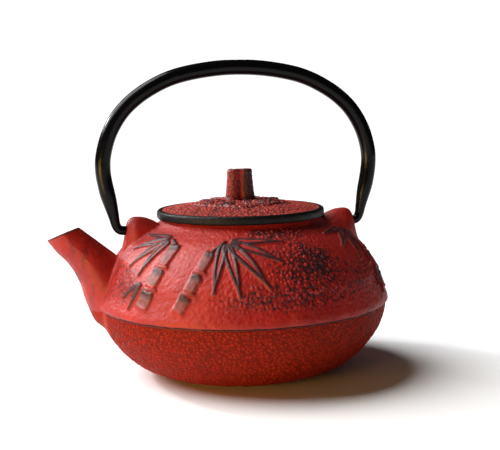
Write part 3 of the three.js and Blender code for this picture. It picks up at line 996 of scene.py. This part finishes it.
def build_handle():
    """The bail: a round rod that narrows to the two hooks."""
    path = [(-x, z) for x, z in HANDLE_HALF[:0:-1]] + HANDLE_HALF
    line = even(spline(path, 600), 0.7)
    ahead = np.gradient(line, axis=0)
    ahead /= np.linalg.norm(ahead, axis=1)[:, None]
    angle = np.linspace(0, 2 * math.pi, 48, endpoint=False)
    rings = []
    for i, (x, z) in enumerate(line):
        radius = 2.2 + 1.45 * float(smoothstep(HINGE_HEIGHT + 0.8, HINGE_HEIGHT + 19, z))
        rounding = 1 - 0.6 * max(0, 1 - min(i, len(line) - 1 - i) / 1.5) ** 2
        ring = np.zeros((len(angle), 3))
        ring[:, 0] = x - ahead[i, 1] * radius * rounding * np.cos(angle)
        ring[:, 1] = radius * rounding * np.sin(angle)
        ring[:, 2] = z + ahead[i, 0] * radius * rounding * np.cos(angle)
        rings.append(ring)
    handle = make_object("bail", *tube_mesh(np.array(rings)))
    co = coordinates(handle)
    co += normals(handle) * (0.05 * clouds(co, 7, 1.0))[:, None]
    co[:, 2] = np.minimum(co[:, 2], HIGHEST)
    set_coordinates(handle, co)
    dress(handle, black_gloss("black_enamel"), "handle", "black_iron", "bail_handle")


BASKET_RADIUS = 29.4
BASKET_BOTTOM = 41


def wires(name, points, faces, thickness):
    """A net of wires along the edges of a grid of faces."""
    net = make_object(name, points, faces)
    modifier = net.modifiers.new("wires", "WIREFRAME")
    modifier.thickness = thickness * MM
    modifier.use_even_offset = False
    modifier.offset = 0
    return bake(net)


def build_basket():
    """The tea basket: real holes between the wires of its wall and floor."""
    around = 150
    middle = BASKET_RADIUS - 0.35
    heights = np.arange(BASKET_BOTTOM + 1.1, 70.6, 1.22)
    rings = turned_rings([(middle, z) for z in heights], around)
    wall = wires("mesh_wall", rings.reshape(-1, 3).tolist(), grid_faces(len(heights), around), 0.42)
    steel = bright_steel("wire_steel", 0.3)
    dress(wall, steel, "basket", "basket_mesh", "basket_mesh_wall")

    pitch = 1.22
    count = int(BASKET_RADIUS / pitch)
    index = {}
    points, faces = [], []

    def corner(i, j):
        if (i, j) not in index:
            index[i, j] = len(points)
            points.append((i * pitch, j * pitch, BASKET_BOTTOM + 0.35))
        return index[i, j]

    for i in range(-count, count):
        for j in range(-count, count):
            if math.hypot(max(abs(i), abs(i + 1)), max(abs(j), abs(j + 1))) * pitch < BASKET_RADIUS - 0.2:
                faces.append([corner(i, j), corner(i + 1, j), corner(i + 1, j + 1), corner(i, j + 1)])
    floor = wires("mesh_floor", points, faces, 0.42)
    dress(floor, steel, "basket", "basket_mesh", "basket_mesh_floor")


def finish_cad_nodes():
    """The basket's pressed rings and the washer keep their CAD shape, with a real finish."""
    steel = bright_steel("pressed_steel")
    for name in ("basket_rim", "basket_bottom_ring", "knob_washer"):
        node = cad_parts[name]
        node.data.materials.clear()
        node.data.materials.append(steel)
        node.data.polygons.foreach_set("use_smooth", [True] * len(node.data.polygons))
        bevel = node.modifiers.new("sharp corners", "EDGE_SPLIT")
        bevel.split_angle = math.radians(35)


# ---------------------------------------------------------------- floor, light and camera


def build_floor():
    bpy.ops.mesh.primitive_plane_add(size=6)
    floor = bpy.context.object
    floor.name = "floor"
    n = Nodes("pale_floor")
    tone = n.mix(n.ramp(n.noise(3, 2), 0.3, 0.7), (0.93, 0.93, 0.93), (0.95, 0.95, 0.95))
    floor.data.materials.append(n.set(Base_Color=tone, Roughness=0.6, Specular_IOR_Level=0.2))


def area_light(name, place, target, size, power, colour=(1, 1, 1)):
    light = bpy.data.lights.new(name, "AREA")
    light.shape = "RECTANGLE"
    light.size, light.size_y = size
    light.energy = power
    light.color = colour
    made = bpy.data.objects.new(name, light)
    bpy.context.scene.collection.objects.link(made)
    made.location = place
    made.rotation_euler = (Vector(target) - Vector(place)).to_track_quat("-Z", "Y").to_euler()


WORLD_LIGHT = 0.035
SUN_AZIMUTH = 111
SUN_HEIGHT = 48
SUN_POWER = 5.3
SUN_SPREAD = 54
EDGE_POWER = 2.6
COOL_WHITE = (0.9, 0.94, 1)
LOW_POWER = 1.6
AMBER = (1, 0.55, 0.1)


def build_lights():
    """A broad sun from the left, a little light from all round, a cool edge light and a low warm one."""
    world = bpy.data.worlds.new("studio")
    bpy.context.scene.world = world
    world.use_nodes = True
    tree = world.node_tree
    back = tree.nodes["Background"]
    back.inputs["Color"].default_value = (1, 1, 1, 1)
    seen = tree.nodes.new("ShaderNodeLightPath").outputs["Is Camera Ray"]
    share = tree.nodes.new("ShaderNodeMapRange")
    share.inputs["To Min"].default_value = WORLD_LIGHT
    share.inputs["To Max"].default_value = 1.1
    tree.links.new(seen, share.inputs["Value"])
    tree.links.new(share.outputs["Result"], back.inputs["Strength"])
    sun = bpy.data.lights.new("key", "SUN")
    sun.energy = SUN_POWER
    sun.angle = math.radians(SUN_SPREAD)
    key = bpy.data.objects.new("key", sun)
    bpy.context.scene.collection.objects.link(key)
    turn, rise = math.radians(SUN_AZIMUTH), math.radians(SUN_HEIGHT)
    towards = Vector((-math.sin(turn) * math.cos(rise), -math.cos(turn) * math.cos(rise), math.sin(rise)))
    key.rotation_euler = towards.to_track_quat("Z", "Y").to_euler()
    area_light("edge", (-0.5, 0.42, 0.4), (0, 0, 0.08), (0.07, 0.07), EDGE_POWER, COOL_WHITE)
    area_light("warm_low", (-0.42, -0.3, 0.05), (0, 0, 0.03), (0.3, 0.12), LOW_POWER, AMBER)


CAMERA_DISTANCE = 0.480
CAMERA_HEIGHT = 0.130
CAMERA_AZIMUTH = -11.8
CAMERA_ROLL = 1.2
CAMERA_AIM = (0.0045, 0.0704)
CAMERA_LENS = 71.6


def build_camera():
    """A little below the top of the handle, a little to the spout's side, rolled slightly."""
    turn = math.radians(CAMERA_AZIMUTH)
    place = Vector((CAMERA_DISTANCE * math.sin(turn), -CAMERA_DISTANCE * math.cos(turn), CAMERA_HEIGHT))
    across = Vector((math.cos(turn), math.sin(turn), 0))
    ahead = (across * CAMERA_AIM[0] + Vector((0, 0, CAMERA_AIM[1])) - place).normalized()
    right = ahead.cross(Vector((0, 0, 1))).normalized()
    up = right.cross(ahead)
    roll = math.radians(CAMERA_ROLL)
    right, up = right * math.cos(roll) - up * math.sin(roll), right * math.sin(roll) + up * math.cos(roll)
    data = bpy.data.cameras.new("camera")
    data.lens = CAMERA_LENS
    data.sensor_width = 36
    camera = bpy.data.objects.new("camera", data)
    bpy.context.scene.collection.objects.link(camera)
    camera.matrix_world = Matrix(
        (
            (right.x, up.x, -ahead.x, place.x),
            (right.y, up.y, -ahead.y, place.y),
            (right.z, up.z, -ahead.z, place.z),
            (0, 0, 0, 1),
        )
    )
    bpy.context.scene.camera = camera


bpy.context.scene.view_settings.view_transform = "Standard"
build_camera()
build_lights()
build_floor()
build_pot()
build_lid()
build_knob()
build_handle()
build_basket()
finish_cad_nodes()
